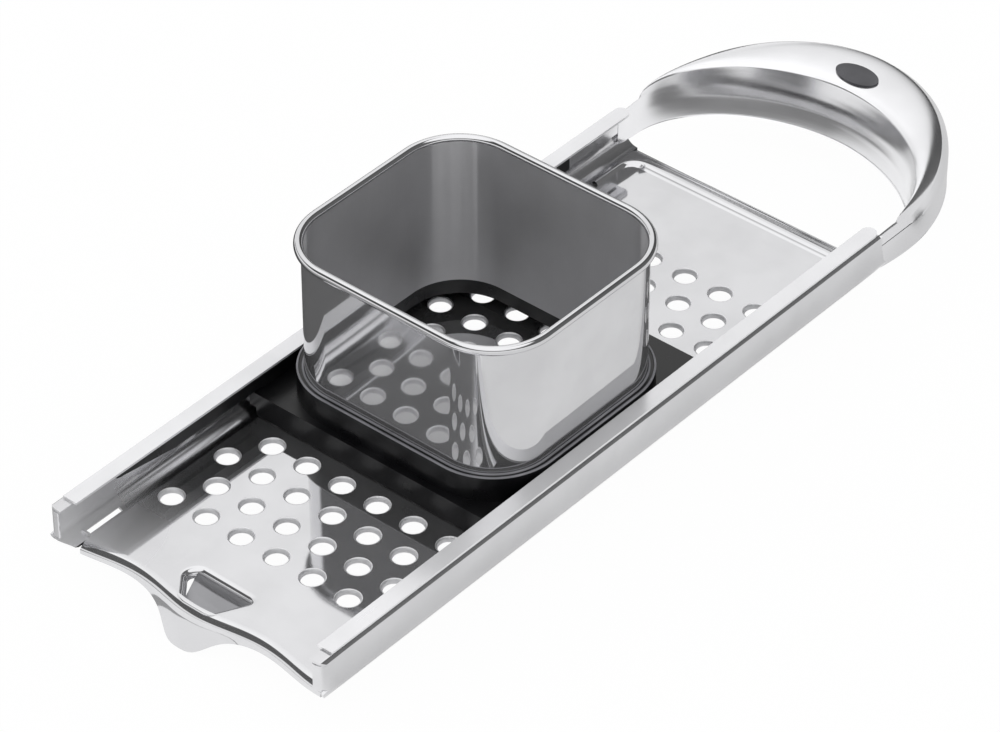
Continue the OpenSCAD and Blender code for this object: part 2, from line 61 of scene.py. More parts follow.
class TraySizes(bpy.types.PropertyGroup):
    """Sizes of the perforated tray"""

    bend_x: bpy.props.FloatProperty(
        name="Bend start", description="Distance from the centre line to the rail's bend",
        default=47.5 * MM, min=40 * MM, max=52 * MM, unit="LENGTH")
    bend_r: bpy.props.FloatProperty(
        name="Bend radius", description="Outer radius of the bend between bed and wall",
        default=6.0 * MM, min=2 * MM, max=10 * MM, unit="LENGTH")
    edge_r: bpy.props.FloatProperty(
        name="Edge radius", description="Outer radius of the rail's top edge",
        default=1.6 * MM, min=0.9 * MM, max=3 * MM, unit="LENGTH")
    rail_h: bpy.props.FloatProperty(
        name="Rail height", description="Height of the rail's top above the bed",
        default=15.6 * MM, min=10 * MM, max=20 * MM, unit="LENGTH")
    flange_w: bpy.props.FloatProperty(
        name="Flange width", description="Width of the rail's top flange",
        default=5.0 * MM, min=2 * MM, max=8 * MM, unit="LENGTH")
    rail_l: bpy.props.FloatProperty(
        name="Rail length", description="Length of each rail",
        default=260.0 * MM, min=200 * MM, max=300 * MM, unit="LENGTH")
    bed_end: bpy.props.FloatProperty(
        name="Bed end", description="Distance from the rails' front ends to the bed's rear edge",
        default=266.0 * MM, min=200 * MM, max=300 * MM, unit="LENGTH")
    hole_d: bpy.props.FloatProperty(
        name="Hole diameter", description="Diameter of each hole in the bed",
        default=8.0 * MM, min=4 * MM, max=10 * MM, unit="LENGTH")
    hole_pitch: bpy.props.FloatProperty(
        name="Hole pitch", description="Distance between neighbouring holes",
        default=14.0 * MM, min=10 * MM, max=20 * MM, unit="LENGTH")
    hole_rows: bpy.props.IntProperty(
        name="Hole rows", description="Number of hole rows along the bed",
        default=16, min=2, max=20)
    first_row: bpy.props.FloatProperty(
        name="First row", description="Distance from the rails' front ends to the first row",
        default=39.0 * MM, min=30 * MM, max=60 * MM, unit="LENGTH")
    hook_x: bpy.props.FloatProperty(
        name="Hook offset", description="Sideways place of the pot hook",
        default=-3.5 * MM, min=-10 * MM, max=10 * MM, unit="LENGTH")
    bead_h: bpy.props.FloatProperty(
        name="Bead height", description="Height of the pressed bead at the bed's rear",
        default=1.1 * MM, min=0.3 * MM, max=2 * MM, unit="LENGTH")


class HopperSizes(bpy.types.PropertyGroup):
    """Sizes of the hopper and its collar"""

    half_w: bpy.props.FloatProperty(
        name="Half width", description="Half width of the hopper's wall",
        default=44.0 * MM, min=30 * MM, max=50 * MM, unit="LENGTH")
    half_l: bpy.props.FloatProperty(
        name="Half length", description="Half length of the hopper's wall",
        default=40.5 * MM, min=30 * MM, max=50 * MM, unit="LENGTH")
    corner: bpy.props.FloatProperty(
        name="Corner radius", description="Outer radius of the upright corners",
        default=20 * MM, min=10 * MM, max=30 * MM, unit="LENGTH")
    centre_y: bpy.props.FloatProperty(
        name="Centre", description="Hopper's centre along the tray",
        default=-39.6 * MM, min=-60 * MM, max=60 * MM, unit="LENGTH")
    foot: bpy.props.FloatProperty(
        name="Foot", description="Height of the hopper's lower edge above the bed",
        default=10.6 * MM, min=5 * MM, max=20 * MM, unit="LENGTH")
    rim_z: bpy.props.FloatProperty(
        name="Rim height", description="Height of the rolled rim's centre above the bed",
        default=63.4 * MM, min=40 * MM, max=80 * MM, unit="LENGTH")
    rim_r: bpy.props.FloatProperty(
        name="Rim radius", description="Radius of the rolled rim",
        default=1.5 * MM, min=0.8 * MM, max=3 * MM, unit="LENGTH")


class HandleSizes(bpy.types.PropertyGroup):
    """Sizes of the loop handle"""

    low: bpy.props.FloatProperty(
        name="Lower edge", description="Height of the lower edge above the bed",
        default=1.2 * MM, min=0 * MM, max=5 * MM, unit="LENGTH")
    edge: bpy.props.FloatProperty(
        name="Inner edge", description="Height of the inner upper edge above the bed",
        default=14.6 * MM, min=8 * MM, max=20 * MM, unit="LENGTH")
    crown: bpy.props.FloatProperty(
        name="Crown", description="Height of the crown above the bed, at the tip",
        default=21.6 * MM, min=15 * MM, max=30 * MM, unit="LENGTH")
    seam: bpy.props.FloatProperty(
        name="Seam", description="Height of the seam between the two shells",
        default=6.7 * MM, min=3 * MM, max=10 * MM, unit="LENGTH")
    sheet: bpy.props.FloatProperty(
        name="Sheet", description="Thickness of the handle's sheet",
        default=0.9 * MM, min=0.5 * MM, max=2 * MM, unit="LENGTH")


class FinishColours(bpy.types.PropertyGroup):
    """Colours of the finishes, as sRGB hex values"""

    steel: bpy.props.StringProperty(
        name="Steel", description="Colour of the polished stainless steel", default="#E2E2E4")
    strip: bpy.props.StringProperty(
        name="Strip steel", description="Colour of the bright cap strips", default="#F2F2F4")
    inner: bpy.props.StringProperty(
        name="Hopper inside", description="Colour of the satin inside of the hopper",
        default="#D0D0D2")
    satin: bpy.props.StringProperty(
        name="Satin steel", description="Colour of the drawn steel of the hopper",
        default="#DEDEE0")
    plastic: bpy.props.StringProperty(
        name="Plastic", description="Colour of the moulded black plastic", default="#08080A")
    # painted highlight: this paler grey on the plastic's ridges and edges stands in for the light
    # they catch
    edge: bpy.props.StringProperty(
        name="Plastic edges", description="Colour of the rubbed edges of the plastic",
        default="#68686C")
    inlay: bpy.props.StringProperty(
        name="Inlay", description="Colour of the dark inlay on the handle", default="#3C3C40")
    # painted shade: the tongue is the bed's steel, given a darker grey
    tongue: bpy.props.StringProperty(
        name="Tongue", description="Colour of the satin pot tongue", default="#A4A4A7")
    floor: bpy.props.StringProperty(
        name="Floor", description="Colour of the floor", default="#F7F7F7")

class Lengths:
    """The sizes of a property group, in millimetres."""

    def __init__(self, group):
        for key in group.__annotations__:
            value = getattr(group, key)
            setattr(self, key, round(value / MM, 4) if isinstance(value, float) else value)


# ---------------------------------------------------------------- colour and nodes

def linear(code):
    """An sRGB hex value as linear red, green, blue and alpha."""
    parts = [int(code[i:i + 2], 16) / 255 for i in (1, 3, 5)]
    return [c / 12.92 if c <= 0.04045 else ((c + 0.055) / 1.055) ** 2.4 for c in parts] + [1.0]


def add(tree, kind, links=(), inputs=(), stops=(), **settings):
    """Adds a node with its settings, its input values, its incoming links and its colour stops."""
    made = tree.nodes.new(kind)
    for key, value in settings.items():
        setattr(made, key, value)
    for key, value in dict(inputs).items():
        made.inputs[key].default_value = value
    for key, source in dict(links).items():
        tree.links.new(source, made.inputs[key])
    for k, (position, colour) in enumerate(stops):
        made.color_ramp.elements[k].position = position
        made.color_ramp.elements[k].color = colour
    return made


def new_material(name):
    """An empty node material and its tree."""
    material = bpy.data.materials.new(name)
    material.use_nodes = True
    material.node_tree.nodes.clear()
    return material, material.node_tree


def greys(places, values):
    """Grey stops of a ramp."""
    return [(place, (value, value, value, 1)) for place, value in zip(places, values)]


def area(tree, *edges, soft="SMOOTHSTEP"):
    """A mask: 1 where each (value, start, end) is past its end, 0 where one is before its start.
    A fourth number is what the mask reaches instead of 1."""
    mask = None
    for value, start, end, *most in edges:
        edge = add(tree, "ShaderNodeMapRange", {"Value": value},
                   {"From Min": start, "From Max": end, "To Max": most[0] if most else 1.0},
                   interpolation_type=soft).outputs[0]
        mask = edge if mask is None else add(tree, "ShaderNodeMath", {0: mask, 1: edge},
                                             operation="MULTIPLY").outputs[0]
    return mask


def buffed_steel(name, code, grain, shine, depth, metal=1.0, painted_light=None):
    """Cold-rolled 18/10 stainless sheet, buffed. Faint wheel lines run along `grain` and break up
    the reflections; handling leaves slightly duller patches. `shine` is the roughness from clean to
    dull, and `metal` the share of clean metal: the rest is a thin grey veil over the reflections.
    `painted_light` makes a mask of places painted paler, with less clean metal."""
    dulling, painted_light_metal = 0.93, 0.35
    material, tree = new_material(name)
    place = add(tree, "ShaderNodeTexCoord").outputs["Object"]
    # wheel lines: 0.4 mm apart, coarser than real ones so that they show, drawn out along the grain
    lines = add(tree, "ShaderNodeMapping", {"Vector": place},
                {"Scale": [1 / (0.4 * MM) * g for g in grain]})
    wheel = add(tree, "ShaderNodeTexNoise", {"Vector": lines.outputs["Vector"]},
                {"Scale": 1.0, "Detail": 2.0})
    # handling patches: about 20 mm across
    patch = add(tree, "ShaderNodeTexNoise", {"Vector": place},
                {"Scale": 1 / (20 * MM), "Detail": 3.0})
    blend = add(tree, "ShaderNodeMix", {"A": wheel.outputs["Fac"], "B": patch.outputs["Fac"]},
                {"Factor": 0.6})
    clean = linear(code)
    dull = [c * dulling for c in clean[:3]] + [1]
    colour = add(tree, "ShaderNodeValToRGB", {"Fac": patch.outputs["Fac"]},
                 stops=((0.35, dull), (0.65, clean)))
    rough = add(tree, "ShaderNodeValToRGB", {"Fac": blend.outputs["Result"]},
                stops=greys((0.3, 0.7), shine))
    bump = add(tree, "ShaderNodeBump", {"Height": wheel.outputs["Fac"]},
               {"Strength": depth, "Distance": 0.01 * MM})
    steel = add(tree, "ShaderNodeBsdfPrincipled",
                {"Base Color": colour.outputs["Color"], "Roughness": rough.outputs["Color"],
                 "Normal": bump.outputs["Normal"]}, {"Metallic": metal})
    if painted_light:
        # painted light: less clean metal where the mask is, so the white dome lights those places
        # paler
        share = add(tree, "ShaderNodeMapRange", {"Value": painted_light(tree, place)},
                    {"To Min": metal, "To Max": painted_light_metal})
        tree.links.new(share.outputs[0], steel.inputs["Metallic"])
    add(tree, "ShaderNodeOutputMaterial", {"Surface": steel.outputs[0]})
    return material


def painted_front_light(tree, place):
    """Painted light: a mask that makes the rails' insides paler at their front ends and fades out
    behind them.
    """
    axes = add(tree, "ShaderNodeSeparateXYZ", {"Vector": place}).outputs
    return area(tree, (axes["Y"], -0.125, -0.165), soft="LINEAR")


def painted_corner_light(tree, place):
    """Painted light: a paler patch on the bed's top at its front left corner, which fades out
    to the right and behind."""
    axes = add(tree, "ShaderNodeSeparateXYZ", {"Vector": place}).outputs
    return area(tree, (axes["Y"], -0.122, -0.156, 0.75), (axes["X"], -0.020, -0.034),
                (axes["Z"], (BED_TOP - 0.2) * MM, (BED_TOP - 0.02) * MM), soft="LINEAR")


def painted_corner_highlight(tree, place):
    """A painted highlight: a paler upright band in the hopper's round corners, streaked like
    drawing lines, with a brighter line at one side.
    """
    s = Lengths(bpy.context.scene.maker_hopper)
    axes = add(tree, "ShaderNodeSeparateXYZ", {"Vector": place}).outputs

    def past(value, centre, flat):
        """How far a place is past the end of a flat side, in metres."""
        off = add(tree, "ShaderNodeMath", {0: value}, {1: centre * MM}, operation="SUBTRACT")
        size = add(tree, "ShaderNodeMath", {0: off.outputs[0]}, operation="ABSOLUTE")
        return add(tree, "ShaderNodeMath", {0: size.outputs[0]}, {1: flat * MM},
                   operation="SUBTRACT").outputs[0]

    x = past(axes["X"], 0.0, s.half_w - s.corner)
    y = past(axes["Y"], s.centre_y, s.half_l - s.corner)
    least = add(tree, "ShaderNodeMath", {0: x, 1: y}, operation="MINIMUM").outputs[0]
    highlight_band = area(tree, (least, 7.0 * MM, 8.4 * MM))
    # upright streaks, 2 mm apart
    lines = add(tree, "ShaderNodeMapping", {"Vector": place},
                {"Scale": (1 / (2 * MM), 1 / (2 * MM), 6)})
    streak = add(tree, "ShaderNodeTexNoise", {"Vector": lines.outputs["Vector"]},
                 {"Scale": 1.0, "Detail": 2.0})
    tone = add(tree, "ShaderNodeMapRange", {"Value": streak.outputs["Fac"]},
               {"From Min": 0.35, "From Max": 0.65, "To Min": 0.6, "To Max": 1.0})
    streaks = add(tree, "ShaderNodeMath", {0: highlight_band, 1: tone.outputs[0]}, operation="MULTIPLY")
    # a painted highlight line at one side of the band
    line = area(tree, (past(x, 8.6, 0.0), 0.8 * MM, 0.3 * MM, 1.3))
    return add(tree, "ShaderNodeMath", {0: streaks.outputs[0], 1: line},
               operation="MAXIMUM").outputs[0]


def moulded_plastic(name, code, shine, grit):
    """Injection-moulded polyamide: a deep black with a fine spark-eroded texture that scatters
    highlights softly and is a little glossier where it has rubbed."""
    material, tree = new_material(name)
    place = add(tree, "ShaderNodeTexCoord").outputs["Object"]
    # mould texture: `grit` millimetres, coarser than the real 0.1 mm so that it shows
    fine = add(tree, "ShaderNodeTexNoise", {"Vector": place},
               {"Scale": 1 / (grit * MM), "Detail": 2.0})
    # rubbed places: about 12 mm across
    worn = add(tree, "ShaderNodeTexNoise", {"Vector": place},
               {"Scale": 1 / (12 * MM), "Detail": 2.0})
    tone = linear(code)
    pale = [min(1, c * 1.8 + 0.004) for c in tone[:3]] + [1]
    colour = add(tree, "ShaderNodeValToRGB", {"Fac": worn.outputs["Fac"]},
                 stops=((0.35, tone), (0.8, pale)))
    rough = add(tree, "ShaderNodeValToRGB", {"Fac": worn.outputs["Fac"]},
                stops=greys((0.3, 0.7), shine))
    bump = add(tree, "ShaderNodeBump", {"Height": fine.outputs["Fac"]},
               {"Strength": 0.15, "Distance": 0.05 * MM})
    plastic = add(tree, "ShaderNodeBsdfPrincipled",
                  {"Base Color": colour.outputs["Color"], "Roughness": rough.outputs["Color"],
                   "Normal": bump.outputs["Normal"]}, {"IOR": 1.5})
    add(tree, "ShaderNodeOutputMaterial", {"Surface": plastic.outputs[0]})
    return material


# finish: how it is made, its name, its colour, then the rest of what that function takes
FINISHES = {
    # almost a mirror, which shows what is round the tray, with painted light at the bed's front left
    # corner
    "sheet": (buffed_steel, "mirror_buffed_stainless_sheet", "steel",
              (1.0, 0.02, 1.0), (0.03, 0.07), 0.06, 0.94, painted_corner_light),
    # softer inside the rails, so the reflections blur, with painted light at their front ends
    "rail": (buffed_steel, "satin_stainless_rail_inside", "steel",
             (1.0, 0.02, 1.0), (0.16, 0.24), 0.1, 1.0, painted_front_light),
    # a sharp bright line round the hopper's mouth
    "rim": (buffed_steel, "mirror_buffed_stainless_rim", "steel",
            (0.5, 0.5, 1.0), (0.04, 0.08), 0.06),
    # pale and even, with fine lines lengthways
    "strip": (buffed_steel, "line_buffed_stainless_strip", "strip",
              (1.0, 0.01, 1.0), (0.20, 0.28), 0.15, 0.45),
    # broad soft highlights along the loop
    "handle": (buffed_steel, "hand_buffed_stainless_handle", "strip",
               (0.05, 0.05, 1.0), (0.17, 0.24), 0.08),
    # clear reflections with faint upright lines from drawing
    "hopper": (buffed_steel, "drawn_stainless_hopper", "satin",
               (0.6, 0.6, 0.02), (0.03, 0.06), 0.06, 0.90),
    # matt pressed edges that catch the light evenly, in the paler strip colour: painted light on the
    # hole lips
    "dimple": (buffed_steel, "pressed_stainless_hole_lips", "strip",
               (0.5, 0.5, 1.0), (0.50, 0.60), 0.2),
    # a grey, brushed look; the grey, darker than the bed's steel, is painted shade
    "tongue": (buffed_steel, "satin_stainless_pot_tongue", "tongue",
               (1.0, 0.05, 1.0), (0.38, 0.50), 0.3),
    # dull grey with upright streaks, and a painted highlight band in the round corners
    "inner": (buffed_steel, "satin_drawn_hopper_inside", "inner",
              (0.6, 0.6, 0.02), (0.40, 0.50), 0.4, 0.84, painted_corner_highlight),
    # deep black with a soft sheen
    "plastic": (moulded_plastic, "moulded_black_polyamide", "plastic", (0.26, 0.36), 0.5),
    # paler grey on the collar's ridges and the frame's rounded edges: a painted highlight
    "edge": (moulded_plastic, "rubbed_polyamide_edges", "edge", (0.26, 0.36), 0.5),
    # dark grey, a little glossier than the frame
    "inlay": (moulded_plastic, "moulded_grey_inlay", "inlay", (0.20, 0.30), 0.4),
}
MADE = {}


def finish_for(key):
    """The finish of that name, made on first use."""
    if key not in MADE:
        make, name, colour, *rest = FINISHES[key]
        MADE[key] = make(name, getattr(bpy.context.scene.maker_colours, colour), *rest)
    return MADE[key]


# ---------------------------------------------------------------- mesh helpers

def put(name, verts, faces, finish, body, replaced=(), sharp=32):
    """Makes a piece from points in millimetres, finishes it and rides it on its body."""
    mesh = bpy.data.meshes.new(name)
    mesh.from_pydata([tuple(c * MM for c in v) for v in verts], [], faces)
    mesh.validate()
    mesh.shade_smooth()
    mesh.set_sharp_from_angle(angle=math.radians(sharp))
    piece = bpy.data.objects.new(name, mesh)
    bpy.context.scene.collection.objects.link(piece)
    mesh.materials.append(finish_for(finish))
    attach(piece, body)
    if replaced:
        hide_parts(*replaced)
    return piece


class Shape:
    """Points and faces of one mesh, gathered piece by piece."""

    def __init__(self):
        self.points = []
        self.faces = []

    def rows(self, rows, closed_row=True, closed_path=False, flip=False):
        """Skins rows of points that have equal numbers of points."""
        base, n, m = len(self.points), len(rows[0]), len(rows)
        for row in rows:
            self.points.extend(row)
        for i in range(m if closed_path else m - 1):
            for j in range(n if closed_row else n - 1):
                a, b = base + i * n + j, base + i * n + (j + 1) % n
                c, d = base + (i + 1) % m * n + (j + 1) % n, base + (i + 1) % m * n + j
                self.faces.append((d, c, b, a) if flip else (a, b, c, d))
        return base

    def cap(self, base, n, flip=False):
        """Closes a two-line section of n points that starts at point base, in quads."""
        for j in range(n // 2 - 1):
            a, b, c, d = base + j, base + j + 1, base + n - 2 - j, base + n - 1 - j
            self.faces.append((d, c, b, a) if flip else (a, b, c, d))

    def block(self, low, high):
        """A box between two corners."""
        base = len(self.points)
        (x0, y0, z0), (x1, y1, z1) = low, high
        for z in (z0, z1):
            self.points += [(x0, y0, z), (x1, y0, z), (x1, y1, z), (x0, y1, z)]
        for face in ((3, 2, 1, 0), (4, 5, 6, 7), (0, 1, 5, 4),
                     (1, 2, 6, 5), (2, 3, 7, 6), (3, 0, 4, 7)):
            self.faces.append(tuple(base + k for k in face))


def soften(name, width, segments=2, slot=-1):
    """Rounds the edges of a carried-over solid, in the finish of that slot."""
    sharpest = 40
    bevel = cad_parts[name].modifiers.new("rounded_edges", "BEVEL")
    bevel.width = width * MM
    bevel.segments = segments
    bevel.limit_method = "ANGLE"
    bevel.angle_limit = math.radians(sharpest)
    bevel.harden_normals = True
    bevel.material = slot


def refinish(name, finish):
    """Gives a carried-over solid its finish."""
    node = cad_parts[name]
    node.data.materials.clear()
    node.data.materials.append(finish_for(finish))


def loop_point(half, depth, t):
    """Point of the handle's loop at angle t: a superellipse, fuller than an oval."""
    power = 1.9
    c, s = (0 if abs(v) < 1e-9 else v for v in (math.cos(t), math.sin(t)))
    return (math.copysign(abs(c) ** (2 / power), c) * half,
            math.copysign(abs(s) ** (2 / power), s) * depth)


def plan_rows(sizes):
    """Places and outward directions round the hopper's plan: flat sides, round corners."""
    made, steps = [], 24
    a, b, r = sizes.half_w, sizes.half_l, sizes.corner
    for k, (sx, sy) in enumerate(((1, 1), (-1, 1), (-1, -1), (1, -1))):
        for j in range(steps + 1):
            t = math.radians(90 * k + 90 * j / steps)
            made.append((sx * (a - r), sy * (b - r), r, math.cos(t), math.sin(t)))
    return made


def arc(cx, cz, r, start, end, steps):
    """Points of an arc, in a section."""
    return [(cx + r * math.cos(math.radians(start + (end - start) * k / steps)),
             cz + r * math.sin(math.radians(start + (end - start) * k / steps)))
            for k in range(steps + 1)]


def ringed(profile, sizes):
    """Sweeps a closed (offset, height) profile round the hopper's plan."""
    shape = Shape()
    rows = []
    for cx, cy, r, nx, ny in plan_rows(sizes):
        rows.append([(cx + (r + off) * nx, cy + (r + off) * ny + sizes.centre_y, BED_TOP + z)
                     for off, z in profile])
    shape.rows(rows, closed_path=True)
    return shape


def smooth(points, steps):
    """Smooth curve through every point, without overshoot."""
    pull = 0.33
    out = []
    for i in range(len(points) - 1):
        a, b = Vector(points[i]), Vector(points[i + 1])
        before = Vector(points[i - 1]) if i else 2 * a - b
        after = Vector(points[i + 2]) if i + 2 < len(points) else 2 * b - a
        reach = (b - a).length
        start = (b - before).normalized() * reach * pull
        end = (after - a).normalized() * reach * pull
        for k in range(steps):
            t = k / steps
            p = ((1 - t) ** 3 * a + 3 * t * (1 - t) ** 2 * (a + start)
                 + 3 * t * t * (1 - t) * (b - end) + t ** 3 * b)
            out.append(tuple(p))
    out.append(tuple(points[-1]))
    return out


# ---------------------------------------------------------------- the pieces

def fold_at(x, hook_x):
    """Place of the wavy front fold, from the rails' front ends."""
    middle, wave, wavelength = 6.9, 1.5, 50
    return middle - wave * math.cos(2 * math.pi * (x - hook_x) / wavelength)


def window_loop(hook_x):
    """The window's outline with rounded corners, anticlockwise."""
    # from the hook's middle and the rails' front ends; each corner is rounded over `reach`
    corners = [(-5, 9.2), (5, 9.2), (11, 20.2), (-9.6, 20.2), (-11.4, 17)]
    reach, steps = 1.5, 6
    loop = []
    for i in range(len(corners)):
        before, here, after = (Vector(corners[(i + k) % len(corners)]) for k in (-1, 0, 1))
        u, v = (before - here).normalized(), (after - here).normalized()
        for k in range(steps + 1):
            t = k / steps
            p = ((1 - t) ** 2 * (here + reach * u) + 2 * t * (1 - t) * here
                 + t * t * (here + reach * v))
            loop.append((hook_x + p.x, FRONT_Y + p.y))
    return loop


def grown(loop, off):
    """A closed outline moved outwards by off."""
    out = []
    n = len(loop)
    for i in range(n):
        a, b = Vector(loop[i - 1]), Vector(loop[(i + 1) % n])
        t = (b - a).normalized()
        out.append((loop[i][0] + off * t.y, loop[i][1] - off * t.x))
    return out


def sheet_between(shape, border, loops, z, up):
    """Fills a flat sheet inside the border and outside the loops."""
    verts, edges = [], []
    for loop in [border] + loops:
        base, n = len(verts), len(loop)
        verts += [Vector(p) for p in loop]
        edges += [(base + i, base + (i + 1) % n) for i in range(n)]
    made, _, faces, *_ = delaunay_2d_cdt(verts, edges, [], 1, 1e-6)
    base = len(shape.points)
    shape.points += [(p.x, p.y, z) for p in made]
    middles = []
    for loop in loops:
        cx = sum(p[0] for p in loop) / len(loop)
        cy = sum(p[1] for p in loop) / len(loop)
        middles.append((cx, cy, max(math.hypot(p[0] - cx, p[1] - cy) for p in loop), loop))
    for face in faces:
        x = sum(made[k].x for k in face) / len(face)
        y = sum(made[k].y for k in face) / len(face)
        if any(math.hypot(x - cx, y - cy) < r and inside(loop, x, y)
               for cx, cy, r, loop in middles):
            continue
        turn = sum(made[face[k - 1]].x * made[face[k]].y - made[face[k]].x * made[face[k - 1]].y
                   for k in range(len(face)))
        order = face if (turn > 0) == up else face[::-1]
        shape.faces.append(tuple(base + k for k in order))


def inside(loop, x, y):
    """True if the point lies inside the outline."""
    hit = False
    for i in range(len(loop)):
        (x0, y0), (x1, y1) = loop[i - 1], loop[i]
        if (y0 > y) != (y1 > y) and x < (x1 - x0) * (y - y0) / (y1 - y0) + x0:
            hit = not hit
    return hit


# (outwards from the opening's edge, below the bed): the pressed entry of a hole and of the window,
# and how far outside the opening the back of each lip meets the sheet
DIMPLE = ((0.2, 0), (0.05, 0.03), (-0.12, 0.12), (-0.28, 0.3), (-0.38, 0.6), (-0.44, 1.0),
          (-0.48, 1.7))
WINDOW_LIP = ((2.4, 0), (1.9, 0.05), (1.4, 0.2), (0.9, 0.48), (0.5, 0.9), (0.2, 1.6), (0, 2.6))
HOLE_WALL, WINDOW_WALL = 0.4, 1.3
REAR_R = 4.2  # radius of the bed's rear edge


def lip_rows(shape, loop, profile, wall):
    """A rounded entry down to its lower edge and its outside back up to the sheet."""
    rows = [[(x, y, BED_TOP - depth) for x, y in grown(loop, off)] for off, depth in profile]
    off, depth = profile[-1]
    thickness = 0.5
    rows.append([(x, y, BED_TOP - depth) for x, y in grown(loop, off + thickness)])
    rows.append([(x, y, BED_TOP - SHEET) for x, y in grown(loop, wall)])
    shape.rows(rows)


class MAKER_OT_bed(bpy.types.Operator):
    """Builds the perforated bed with its wavy apron, window, pressed bead and rear lip"""

    bl_idname = "maker.bed"
    bl_label = "Perforated bed"

    def execute(self, context):
        """Makes the bed as one sheet."""
        s = Lengths(context.scene.maker_tray)
        shape = Shape()
        loops = [self.hole(s, row, i) for row in range(s.hole_rows) for i in range(7 - row % 2)]
        window = window_loop(s.hook_x)
        fold_line = self.fold_section()
        fold_in = -fold_line[0][0]
        steps = 76
        xs = [-s.bend_x + 2 * s.bend_x * k / steps for k in range(steps + 1)]
        front = [(x, FRONT_Y + fold_at(x, s.hook_x) + fold_in) for x in xs]
        rear_y = FRONT_Y + s.bed_end - REAR_R
        border = front + [(s.bend_x, rear_y), (-s.bend_x, rear_y)]
        for z, hole_off, window_off, up in ((BED_TOP, DIMPLE[0][0], WINDOW_LIP[0][0], True),
                                            (BED_TOP - SHEET, HOLE_WALL, WINDOW_WALL, False)):
            openings = [grown(loop, hole_off) for loop in loops] + [grown(window, window_off)]
            sheet_between(shape, border, openings, z, up)
        flat = len(shape.faces)
        for loop in loops:
            lip_rows(shape, loop, DIMPLE, HOLE_WALL)
        dimples = len(shape.faces)
        lip_rows(shape, window, WINDOW_LIP, WINDOW_WALL)
        self.apron(shape, s, xs, fold_line)
        self.rear_lip(shape, s, xs)
        self.bead(shape, s)
        piece = put("perforated_bed", shape.points, shape.faces, "sheet", "tray",
                    ["bed_plate"])
        # the hole lips take the paler dimple finish: painted light
        piece.data.materials.append(finish_for("dimple"))
        for face in piece.data.polygons[flat:dimples]:
            face.material_index = 1
        return {"FINISHED"}

    def hole(self, s, row, i):
        """Outline of one hole: rows of seven and of six take turns."""
        r, count, points = s.hole_d / 2, 7 - row % 2, 40
        cx = (i - (count - 1) / 2) * s.hole_pitch
        cy = FRONT_Y + s.first_row + row * s.hole_pitch * math.sin(math.pi / 3)
        turns = [2 * math.pi * k / points for k in range(points)]
        return [(cx + r * math.cos(t), cy + r * math.sin(t)) for t in turns]

    def fold_section(self):
        """The rounded front fold with its wide middle: (forward, height, and the normal's two)."""
        # (slope in degrees, length) of each short straight
        turns = [(3, 0.5), (8, 0.45), (14, 0.3), (20, 0.22), (26, 0.18), (31, 0.16), (36, 0.30),
                 (41, 0.45), (46, 0.45), (51, 0.30), (56, 0.2), (62, 0.2), (68, 0.22), (75, 0.25),
                 (82, 0.25), (88, 0.25)]
        u = z = 0.0
        line = [(0.0, 0.0, 0.0, 1.0)]
        for k, (angle, length) in enumerate(turns):
            u += length * math.cos(math.radians(angle))
            z -= length * math.sin(math.radians(angle))
            after = turns[k + 1][0] if k + 1 < len(turns) else 90
            middle = math.radians((angle + after) / 2)
            line.append((u, z, math.sin(middle), math.cos(middle)))
        return [(a - u, b, c, d) for a, b, c, d in line]

    def apron(self, shape, s, xs, fold_line):
        """The apron: a rounded fold, then down, and forward where it forms the nose."""
        nose_half, nose_reach, nose_drop, apron_drop, steps = 10, 5.0, 7.6, 3.4, 8
        fold_drop = -fold_line[-1][1]
        rows = []
        for x in xs:
            y = FRONT_Y + fold_at(x, s.hook_x)
            share = 1 / (1 + abs((x - s.hook_x) / nose_half) ** 3.5)
            reach, drop = nose_reach * share, apron_drop + nose_drop * share
            outer = [(y - u, BED_TOP + z) for u, z, nu, nz in fold_line]
            inner = [(y - u + SHEET * nu, BED_TOP + z - SHEET * nz)
                     for u, z, nu, nz in fold_line[::-1]]
            down = [(y - reach * (k / steps) ** 1.15,
                     BED_TOP - fold_drop - (drop - fold_drop) * k / steps)
                    for k in range(1, steps + 1)]
            back = [(py + SHEET, pz) for py, pz in down[::-1]]
            rows.append([(x, py, pz) for py, pz in outer + down + back + inner])
        shape.rows(rows, closed_row=False, flip=True)

    def rear_lip(self, shape, s, xs):
        """The rear lip: rounded over, then down to the resting level, narrower than the bed."""
        half, slope, highest = 38.0, 1.6, 8.0
        rows = []
        for x in xs:
            foot = min(highest, max(0.0, abs(x) - half) * slope)
            y = FRONT_Y + s.bed_end
            outer = arc(y - REAR_R, BED_TOP - REAR_R, REAR_R, 90, 0, 6)
            inner = arc(y - REAR_R, BED_TOP - REAR_R, REAR_R - SHEET, 0, 90, 6)
            section = outer + [(y, foot), (y - SHEET, foot)] + inner
            rows.append([(x, py, pz) for py, pz in section])
        shape.rows(rows, closed_row=False)

    def bead(self, shape, s):
        """The pressed bead: across the rear, then forward along each rail, half as wide there."""
        half, back, arm, round_r = 45.3, 258.8, 240.0, 6.5
        path = [(-half, arm)]
        path += arc(-half + round_r, back - round_r, round_r, 180, 90, 9)
        path += arc(half - round_r, back - round_r, round_r, 90, 0, 9)
        path.append((half, arm))
        side = [(2.9, -0.02), (2.5, 0.1), (2.1, 0.3), (1.7, 0.55), (1.3, 0.78), (0.9, 0.93),
                (0.45, 0.99)]
        section = [(-u, z) for u, z in side] + [(0.0, 1.0)] + side[::-1]
        rows = []
        for i, (x, y) in enumerate(path):
            a, b = Vector(path[max(0, i - 1)]), Vector(path[min(len(path) - 1, i + 1)])
            t = (b - a).normalized()
            slim = 1 - 0.5 * t.y * t.y
            rows.append([(x - t.y * u * slim, FRONT_Y + y + t.x * u * slim, BED_TOP + s.bead_h * z)
                         for u, z in section])
        shape.rows(rows, closed_row=False, flip=True)


